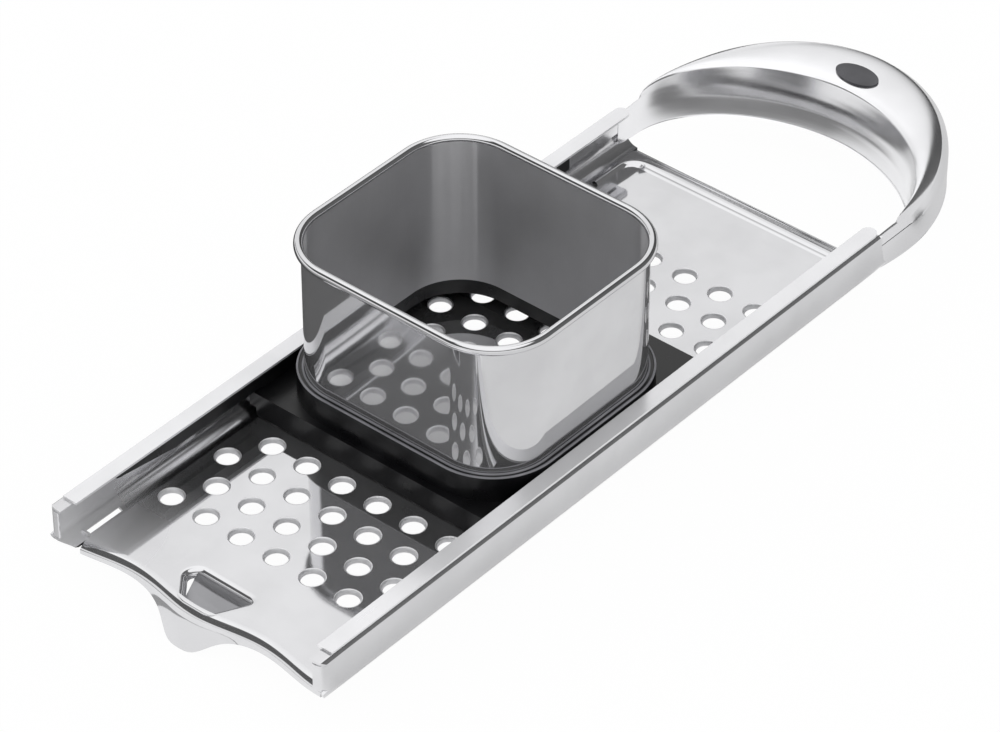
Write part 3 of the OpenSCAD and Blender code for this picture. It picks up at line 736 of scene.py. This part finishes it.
def rail_skins(s):
    """Outer and inner skin of the right rail's section, as matching points."""
    bend_steps, edge_steps = 16, 8
    wall = s.bend_x + s.bend_r
    centre_z = BED_TOP - SHEET + s.bend_r
    top = BED_TOP + s.rail_h
    skins = []
    for off in (0, SHEET):
        skin = arc(s.bend_x, centre_z, s.bend_r - off, -90, 0, bend_steps)
        skin += arc(wall - s.edge_r, top - s.edge_r, s.edge_r - off, 0, 90, edge_steps)
        skins.append(skin + [(wall - s.flange_w, top - off)])
    return skins


class MAKER_OT_rails(bpy.types.Operator):
    """Builds the two folded side rails with their slots, stop tabs and front lips"""

    bl_idname = "maker.rails"
    bl_label = "Side rails"

    def execute(self, context):
        """Makes one rail and its mirror image."""
        s = Lengths(context.scene.maker_tray)
        for name, side in (("left_side_rail", -1), ("right_side_rail", 1)):
            shape, within = self.rail(s, side)
            piece = put(name, shape.points, shape.faces, "sheet", "tray",
                        [name.replace("_side", "")])
            piece.data.materials.append(finish_for("rail"))
            for index in within:
                piece.data.polygons[index].material_index = 1
        return {"FINISHED"}

    def rail(self, s, side):
        """Skins the section along the tray, leaving the slot open."""
        slot_start, slot_end, lip_r = 10.5, 25.0, 3.0
        outer, inner = rail_skins(s)
        slot = [j for j, (x, z) in enumerate(inner) if z < BED_TOP + 3 and 48.2 < x < 50.0]
        first, last = slot[0], slot[-1]
        stations = [0.0, slot_start, slot_end]
        stations += [s.rail_l - (s.rail_l - slot_end) * (1 - k / 8) for k in range(1, 9)]
        shape = Shape()
        n = len(outer)

        def at(station, point):
            """A point of the section at a station, cut back in front and run on at the rear."""
            cut = 0.0
            if station == 0.0:
                cut = 5.5 * (max(0.0, BED_TOP + 6 - point[1]) / 6.8) ** 2.5
                if point[1] > BED_TOP + 5:
                    past = max(0.0, point[0] - s.bend_x - s.bend_r + lip_r)
                    cut = lip_r - math.sqrt(max(0.0, lip_r ** 2 - past ** 2))
            if station == s.rail_l:
                low = min(1.0, max(0.0, (BED_TOP + 7 - point[1]) / 4))
                cut = (s.bed_end - 1.5 - s.rail_l) * low
            return (side * point[0], FRONT_Y + station + cut, point[1])

        for skin, flip in ((outer, side > 0), (inner, side < 0)):
            base = len(shape.points)
            within = len(shape.faces)
            for y in stations:
                shape.points += [at(y, p) for p in skin]
            for i in range(len(stations) - 1):
                for j in range(n - 1):
                    if i == 1 and first <= j < last:
                        continue
                    a, b, c, d = (base + i * n + j, base + i * n + j + 1,
                                  base + (i + 1) * n + j + 1, base + (i + 1) * n + j)
                    shape.faces.append((d, c, b, a) if not flip else (a, b, c, d))
        beyond = len(shape.faces)
        gap = len(stations) * n
        flip = side > 0

        def close(a, b, turn):
            """Joins the outer and the inner skin along the edge between two outer points."""
            face = (a, b, b + gap, a + gap)
            shape.faces.append(face[::-1] if turn else face)

        for station, turn in ((0, flip), (len(stations) - 1, not flip)):
            for j in range(n - 1):
                close(station * n + j, station * n + j + 1, turn)
        for i in range(len(stations) - 1):
            close(i * n + n - 1, (i + 1) * n + n - 1, flip)
        for j, turn in ((first, flip), (last, not flip)):
            close(n + j, 2 * n + j, turn)
        for i, turn in ((1, not flip), (2, flip)):
            for j in range(first, last):
                close(i * n + j, i * n + j + 1, turn)
        # front lip, turned inwards round its radius
        wall = s.bend_x + s.bend_r
        turn = arc(wall - lip_r, lip_r, lip_r, 0, -90, 6)
        turn += [(49.7, 0.0), (49.5, 0.2), (49.5, 0.6), (49.7, SHEET)]
        turn += arc(wall - lip_r, lip_r, lip_r - SHEET, -90, 0, 6)
        rows = [[(side * x, FRONT_Y + y, BED_TOP + z) for x, y in turn] for z in (5.0, 14.4)]
        base = shape.rows(rows, flip=side > 0)
        shape.cap(base, len(turn), flip=side < 0)
        shape.cap(base + len(turn), len(turn), flip=side > 0)
        lip = range(len(shape.faces) - len(turn) - 2, len(shape.faces))
        # stop tab in front of the slot
        xs = sorted((side * 47.7, side * 50.5))
        shape.block((xs[0], FRONT_Y + 9.7, BED_TOP - 0.3),
                    (xs[1], FRONT_Y + slot_start, BED_TOP + 1.4))
        return shape, [*range(within, beyond), *lip]


class MAKER_OT_trim(bpy.types.Operator):
    """Finishes the cap strips, guide liners and the oval inlay"""

    bl_idname = "maker.trim"
    bl_label = "Strips, liners and inlay"

    def execute(self, context):
        """Rounds the edges of the carried-over solids and finishes them."""
        for name in ("left_cap_strip", "right_cap_strip"):
            refinish(name, "strip")
            soften(name, 0.3, 3)
        for name in ("left_guide_liner", "right_guide_liner"):
            refinish(name, "plastic")
            soften(name, 0.3)
        refinish("handle_inlay", "inlay")
        soften("handle_inlay", 0.25, 3)
        return {"FINISHED"}


class MAKER_OT_hook(bpy.types.Operator):
    """Builds the bent tongue that hooks over a pot's rim"""

    bl_idname = "maker.hook"
    bl_label = "Pot hook"

    def execute(self, context):
        """Makes the tongue as one bent sheet with a rounded nose."""
        s = Lengths(context.scene.maker_tray)
        shape = Shape()
        rows = []
        steps, across = 64, 8
        # from the rails' front ends: the root, the step down, the curl, and the tip's rounding
        root, step_top, step_foot, curl, taper = 25, 20.4, 18.4, 9, 0.85
        for i in range(steps + 1):
            u = i / steps
            y = root - 21.5 * u
            if y > step_top:
                z = -SHEET - 0.4
            elif y > step_foot:
                z = -1.2 - 2.4 * (1 - math.cos(math.pi * (step_top - y) / 2)) / 2
            elif y > curl:
                z = -3.6 - 2.6 * (step_foot - y) / 9.4
            else:
                z = -6.2 - 4.4 * (1 - math.sqrt(max(0.0, 1 - ((curl - y) / 5.6) ** 2)))
            half = 12.5 - 6 * u / taper
            if u >= taper:
                half = 6.5 * math.sqrt(1 - ((u - taper) / 0.16) ** 2)
            sag = 1.6 * min(1, 3 * max(0, u - 0.12))
            low, high = [], []
            for k in range(-across, across + 1):
                drop = sag * ((k / across) ** 2 - 1) * 0.5
                x = s.hook_x + half * k / across
                low.append((x, FRONT_Y + y, BED_TOP + max(z - 0.4 + drop, -BED_TOP)))
                high.append((x, FRONT_Y + y, BED_TOP + max(z + 0.4 + drop, -BED_TOP + 0.8)))
            rows.append(low + high[::-1])
        shape.rows(rows)
        shape.cap(0, len(rows[0]), flip=True)
        shape.cap(steps * len(rows[0]), len(rows[0]))
        put("pot_tongue", shape.points, shape.faces, "tongue", "tray",
            ["pot_hook"], 50)
        return {"FINISHED"}


class MAKER_OT_handle(bpy.types.Operator):
    """Builds the hollow loop handle from its two pressed shells"""

    bl_idname = "maker.handle"
    bl_label = "Loop handle"

    def execute(self, context):
        """Sweeps the top and the bottom shell round the loop."""
        s = Lengths(context.scene.maker_handle)
        steps, arms = 132, 12
        for name, upper, node in (("handle_upper", True, "handle_top_shell"),
                                  ("handle_lower", False, "handle_bottom_shell")):
            shape = Shape()
            rows = [self.section(s, i, steps, arms, upper) for i in range(-arms, steps + arms + 1)]
            shape.rows(rows)
            shape.cap(0, len(rows[0]), flip=True)
            shape.cap((len(rows) - 1) * len(rows[0]), len(rows[0]))
            if upper:
                # a tenon at each root, inside the rail
                for side in (-1, 1):
                    xs = sorted((side * 51.4, side * 52.7))
                    shape.block((xs[0], FRONT_Y + 230, BED_TOP + 7),
                                (xs[1], FRONT_Y + 262, BED_TOP + 14.0))
            put(name, shape.points, shape.faces, "handle", "tray", [node], 50)
        return {"FINISHED"}

    def section(self, s, i, steps, arms, upper):
        """One shell's section: its outside, then its inside on the way back."""
        # half width and centre of the loop's outer and of its inner edge
        outer_half, outer_y, inner_half, inner_y = 53.2, 277, 51.5, 269
        # heights of the lower and of the upper edge at the roots
        root_low, root_edge = 2.5, 14.0
        a = math.pi * min(1, max(0, i / steps))
        t = max(0, -i, i - steps) / arms
        side = 1 if math.cos(a) > 0 else -1
        if t == 0:
            out = Vector(loop_point(outer_half, 59, a)) + Vector((0, outer_y))
            low = Vector(loop_point(inner_half, 38.9, a)) + Vector((0, inner_y))
        else:
            out = Vector((side * (outer_half - 0.6 * t * t), outer_y - 18 * t))
            low = Vector((side * (inner_half - 0.2 * t), inner_y - 10 * t))
        low_z = s.low + (root_low - s.low) * t * t
        edge = s.edge + (root_edge - s.edge) * t * t
        rise = (s.crown - s.edge) * math.sin(a) ** 0.3 if 0 < i < steps else 0.0
        across = out - low
        span = across.length
        h = edge - low_z
        fall = 4.5 * math.cos(a) ** 4
        # (across, height): the inner wall, the creased edge, then the flat crown and its shoulder
        wall = [(0, s.seam), (0, edge - 0.45 * h), (0.004, edge - 0.38 * h),
                (0.012, edge - 0.30 * h), (0.025, edge - 0.18 * h), (0.04, edge - 0.08 * h),
                (0.055, edge)]
        crown = [(0.073, 0.18), (0.10, 0.43), (0.125, 0.657), (0.132, 0.70), (0.15, 0.743),
                 (0.21, 0.857), (0.30, 0.925), (0.40, 0.966), (0.52, 0.993), (0.66, 1.0),
                 (0.78, 0.98), (0.815, 0.956), (0.835, 0.896), (0.86, 0.807), (0.89, 0.70),
                 (0.925, 0.571), (0.96, 0.414)]
        crown = [(u, edge + rise * z - fall * u * u) for u, z in crown]
        shoulder = [(0.99, edge + 0.236 * rise - fall), (1, edge - 0.8 * fall), (1, s.seam)]
        foot = [(1, low_z + 0.12 * h), (0.985, low_z + 0.04 * h), (0.95, low_z), (0.5, low_z),
                (0.03, low_z), (0.005, low_z + 0.02 * h), (0, low_z + 0.06 * h), (0, s.seam)]
        line = smooth(wall + crown + shoulder if upper else [(1, s.seam)] + foot, 3)
        ku, kz = max(0.12, 1 - 2 * s.sheet / span), 1 - 2 * s.sheet / (edge - low_z)
        mid_z = (low_z + edge) / 2
        inner = [(0.5 + (u - 0.5) * ku, mid_z + (z - mid_z) * kz) for u, z in line]
        inner[0] = (inner[0][0], s.seam)
        inner[-1] = (inner[-1][0], s.seam)
        row = []
        for u, z in line + inner[::-1]:
            p = low + across * u
            row.append((p.x, FRONT_Y + p.y, BED_TOP + z))
        return row


class MAKER_OT_hopper(bpy.types.Operator):
    """Builds the steel hopper with its rolled rim, and the plastic collar round its foot"""

    bl_idname = "maker.hopper"
    bl_label = "Hopper and collar"

    def execute(self, context):
        """Sweeps the wall's and the collar's sections round the hopper's plan."""
        s = Lengths(context.scene.maker_hopper)
        # (outwards from the wall, above the bed): the wall, then the rolled rim, then the inside
        profile = [(0, s.foot), (0, s.rim_z - 4), (0, s.rim_z - 1.75), (0.2, s.rim_z - 1.56)]
        profile += arc(0.6, s.rim_z, s.rim_r, -90, 180, 24)
        profile += [(-SHEET, s.rim_z - 1.6), (-SHEET, s.foot)]
        shape = ringed(profile, s)
        piece = put("steel_hopper", shape.points, shape.faces, "hopper", "carriage",
                    ["hopper_shell"])
        piece.data.materials.append(finish_for("inner"))
        piece.data.materials.append(finish_for("rim"))
        n = len(profile)
        for index, face in enumerate(piece.data.polygons):
            side = index % n
            face.material_index = 1 if side in (n - 3, n - 2) else 2 if 2 <= side < n - 3 else 0
        # the collar: its outside, then two ridges on top with a groove between them
        profile = [(0.1, 8.7), (2.5, 8.7), (2.5, 17.0)]
        profile += arc(2.1, 17.2, 0.4, 0, 90, 5)
        profile += [(1.85, 17.55), (1.7, 17.3), (0.8, 17.25), (0.55, 17.55), (0.3, 17.65),
                    (0.1, 17.5)]
        shape = ringed(profile, s)
        piece = put("plastic_collar", shape.points, shape.faces, "plastic", "carriage",
                    ["hopper_collar"])
        # the ridges take the paler edge grey: a painted highlight
        piece.data.materials.append(finish_for("edge"))
        n = len(profile)
        for index, face in enumerate(piece.data.polygons):
            if 3 <= index % n <= 8 or n - 4 <= index % n < n - 1:
                face.material_index = 1
        return {"FINISHED"}


class MAKER_OT_carriage(bpy.types.Operator):
    """Finishes the carriage frame that slides on the bed"""

    bl_idname = "maker.carriage"
    bl_label = "Carriage frame"

    def execute(self, context):
        """Rounds the frame's edges and finishes it."""
        refinish("carriage_frame", "plastic")
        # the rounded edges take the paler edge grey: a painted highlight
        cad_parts["carriage_frame"].data.materials.append(finish_for("edge"))
        soften("carriage_frame", 0.7, 3, slot=1)
        return {"FINISHED"}


class MAKER_OT_stage(bpy.types.Operator):
    """Sets up the floor, the soft studio light and the camera"""

    bl_idname = "maker.stage"
    bl_label = "Stage"

    def execute(self, context):
        """Makes the floor, world and camera."""
        scene = context.scene
        scene.view_settings.view_transform = "Standard"
        self.floor(context)
        self.world(scene)
        self.camera(scene)
        return {"FINISHED"}

    def floor(self, context):
        """A plain pale floor that keeps the object's shadow."""
        half = 3
        mesh = bpy.data.meshes.new("studio_floor")
        mesh.from_pydata([(-half, -half, 0), (half, -half, 0), (half, half, 0), (-half, half, 0)],
                         [], [(0, 1, 2, 3)])
        floor = bpy.data.objects.new("studio_floor", mesh)
        context.scene.collection.objects.link(floor)
        material, tree = new_material("matt_white_paper_floor")
        ray = add(tree, "ShaderNodeLightPath").outputs
        place = add(tree, "ShaderNodeTexCoord").outputs["Object"]
        axes = add(tree, "ShaderNodeSeparateXYZ", {"Vector": place}).outputs
        side = add(tree, "ShaderNodeMath", {0: axes["X"]}, operation="ABSOLUTE").outputs[0]

        def oval(x, y, half_x, half_y):
            """How far a place is from an oval's centre, as a share of the oval."""
            share = add(tree, "ShaderNodeMapping", {"Vector": place},
                        {"Location": (-x / half_x, -y / half_y, 0.0),
                         "Scale": (1 / half_x, 1 / half_y, 0.0)})
            return add(tree, "ShaderNodeVectorMath", {0: share.outputs["Vector"]},
                       operation="LENGTH").outputs["Value"]

        # painted reflection: the floor's tone as the steel mirrors it, in metres: pale in front and
        # to the right, dark to the left, a dark spot to the right of the handle, and painted shade
        # in the middle of the handle's opening
        tone = add(tree, "ShaderNodeMapRange", {"Value": axes["Y"]},
                   {"From Min": -0.150, "From Max": -0.165,
                    "To Min": 0.67, "To Max": 1.0}).outputs[0]
        left = add(tree, "ShaderNodeMapRange", {"Value": axes["Y"]},
                   {"From Min": -0.175, "From Max": -0.155,
                    "To Min": 0.36, "To Max": 0.08}).outputs[0]
        loop = oval(0.0, 0.101, 0.0515, 0.039)
        shade = add(tree, "ShaderNodeMapRange", {"Value": loop},
                    {"From Min": 0.58, "From Max": 0.70, "To Min": 0.20, "To Max": 0.98}).outputs[0]
        for mask, over in ((area(tree, (axes["X"], 0.062, 0.078)), 0.80),
                           (area(tree, (axes["X"], -0.056, -0.064)), left),
                           (area(tree, (oval(0.0716, 0.142, 0.006, 0.009), 1.1, 0.8)), 0.10),
                           (area(tree, (loop, 1.08, 1.0), (axes["Y"], 0.100, 0.106)), shade)):
            plain = isinstance(over, float)
            tone = add(tree, "ShaderNodeMix",
                       {"Factor": mask, "A": tone, **({} if plain else {"B": over})},
                       {"B": over} if plain else ()).outputs["Result"]
        # under the tray, mirror rays see mostly the paper's own shade
        under = area(tree, (side, 0.054, 0.050), (axes["Y"], -0.155, -0.148),
                     (axes["Y"], 0.104, 0.098))
        clear = add(tree, "ShaderNodeMapRange", {"Value": under}, {"To Min": 1.0, "To Max": 0.30})
        gloss = add(tree, "ShaderNodeMath", {0: ray["Is Glossy Ray"], 1: clear.outputs[0]},
                    operation="MULTIPLY")
        # the camera sees mostly the glow, so the floor stays white and keeps a faint shadow
        share = add(tree, "ShaderNodeMath", {0: ray["Is Camera Ray"], 2: gloss.outputs[0]},
                    {1: 0.97}, operation="MULTIPLY_ADD")
        light = add(tree, "ShaderNodeMix", {"Factor": ray["Is Glossy Ray"], "B": tone}, {"A": 1.0})
        paper = add(tree, "ShaderNodeBsdfDiffuse", (),
                    {"Color": linear(context.scene.maker_colours.floor)})
        glow = add(tree, "ShaderNodeEmission", {"Strength": light.outputs["Result"]},
                   {"Color": (1, 1, 1, 1)})
        mix = add(tree, "ShaderNodeMixShader",
                  {"Fac": share.outputs[0], 1: paper.outputs[0], 2: glow.outputs[0]})
        add(tree, "ShaderNodeOutputMaterial", {"Surface": mix.outputs[0]})
        mesh.materials.append(material)

    def world(self, scene):
        """White dome for the diffuse light. The steel mirrors a soft box, a screen and a lamp in a
        darker room, and a bright skirt from the horizon down, which is higher in front."""
        world = bpy.data.worlds.new("soft_studio")
        world.use_nodes = True
        tree = world.node_tree
        tree.nodes.clear()
        way = add(tree, "ShaderNodeTexCoord").outputs["Generated"]
        axes = add(tree, "ShaderNodeSeparateXYZ", {"Vector": way}).outputs
        # the direction of the soft box, the screen and the lamp, and the cosines of the angles from
        # it at which each starts and is full
        bright = None
        for direction, start, end in (((-0.60, 0.267, 0.754), 0.80, 0.87),
                                      ((-0.83, 0.54, 0.10), 0.88, 0.93),
                                      ((0.25, -0.25, 0.93), 0.79, 0.85)):
            near = add(tree, "ShaderNodeVectorMath", {0: way}, {1: Vector(direction).normalized()},
                       operation="DOT_PRODUCT").outputs["Value"]
            seen = area(tree, (near, start, end))
            bright = seen if bright is None else add(tree, "ShaderNodeMath", {0: bright, 1: seen},
                                                     operation="MAXIMUM").outputs[0]
        power = add(tree, "ShaderNodeMapRange", {"Value": axes["Z"]},
                    {"From Min": 0.60, "From Max": 0.85, "To Min": 0.95, "To Max": 1.2})
        room = add(tree, "ShaderNodeMapRange", {"Value": axes["X"]},
                   {"From Min": -0.2, "From Max": 0.55, "To Min": 0.08, "To Max": 0.14})
        skirt_top = add(tree, "ShaderNodeMapRange", {"Value": axes["Y"]},
                        {"From Min": -0.3, "From Max": 0.3, "To Min": 0.36, "To Max": 0.08})
        skirt = add(tree, "ShaderNodeMath", {0: skirt_top.outputs[0], 1: axes["Z"]},
                    operation="SUBTRACT").outputs[0]
        base = add(tree, "ShaderNodeMath",
                   {0: room.outputs[0], 1: area(tree, (skirt, -0.03, 0.03, 0.95))},
                   operation="MAXIMUM")
        mirrored = add(tree, "ShaderNodeMix",
                       {"Factor": bright, "A": base.outputs[0], "B": power.outputs[0]})
        ray = add(tree, "ShaderNodeLightPath").outputs
        light = add(tree, "ShaderNodeMix",
                    {"Factor": ray["Is Glossy Ray"], "B": mirrored.outputs["Result"]}, {"A": 1.0})
        back = add(tree, "ShaderNodeBackground", {"Strength": light.outputs["Result"]},
                   {"Color": (1, 1, 1, 1)})
        add(tree, "ShaderNodeOutputWorld", {"Surface": back.outputs[0]})
        scene.world = world

    def camera(self, scene):
        """The camera: 40.3 degrees to the right, 38.6 degrees up, with a long lens."""
        azimuth, elevation, distance = math.radians(40.32), math.radians(38.63), 1.4072
        target = Vector((-0.00797, -0.01918, 0.011))
        back = Vector((math.sin(azimuth) * math.cos(elevation),
                       -math.cos(azimuth) * math.cos(elevation), math.sin(elevation)))
        data = bpy.data.cameras.new("studio_camera")
        data.sensor_width = 36
        data.lens = 165.6
        data.clip_start, data.clip_end = 0.05, 20
        camera = bpy.data.objects.new("studio_camera", data)
        camera.location = target + back * distance
        camera.rotation_mode = "QUATERNION"
        camera.rotation_quaternion = (-back).to_track_quat("-Z", "Y")
        scene.collection.objects.link(camera)
        scene.camera = camera


class MAKER_PT_pieces(bpy.types.Panel):
    """Lists the maker's sizes and pieces"""

    bl_label = "Spaetzle Maker"
    bl_idname = "MAKER_PT_pieces"
    bl_space_type = "VIEW_3D"
    bl_region_type = "UI"
    bl_category = "Spaetzle Maker"

    def draw(self, context):
        """Draws the sizes, the colours and a button for each piece."""
        scene = context.scene
        for name in GROUPS:
            group = getattr(scene, name)
            box = self.layout.box()
            for key in group.__annotations__:
                box.prop(group, key)
        for operator in OPERATORS:
            self.layout.operator(operator.bl_idname)


OPERATORS = [MAKER_OT_bed, MAKER_OT_rails, MAKER_OT_trim, MAKER_OT_hook, MAKER_OT_handle,
             MAKER_OT_hopper, MAKER_OT_carriage, MAKER_OT_stage]
GROUPS = {"maker_tray": TraySizes, "maker_hopper": HopperSizes, "maker_handle": HandleSizes,
          "maker_colours": FinishColours}


def register():
    """Registers the classes and the scene's property groups."""
    for kind in list(GROUPS.values()) + OPERATORS + [MAKER_PT_pieces]:
        bpy.utils.register_class(kind)
    for key, group in GROUPS.items():
        setattr(bpy.types.Scene, key, bpy.props.PointerProperty(type=group))


def unregister():
    """Removes the classes and the property groups."""
    for key in GROUPS:
        delattr(bpy.types.Scene, key)
    for kind in [MAKER_PT_pieces] + OPERATORS[::-1] + list(GROUPS.values())[::-1]:
        bpy.utils.unregister_class(kind)


def main():
    """Builds every piece, then the stage."""
    register()
    bpy.ops.maker.bed()
    bpy.ops.maker.rails()
    bpy.ops.maker.trim()
    bpy.ops.maker.hook()
    bpy.ops.maker.handle()
    bpy.ops.maker.hopper()
    bpy.ops.maker.carriage()
    bpy.ops.maker.stage()


if __name__ == "__main__":
    main()
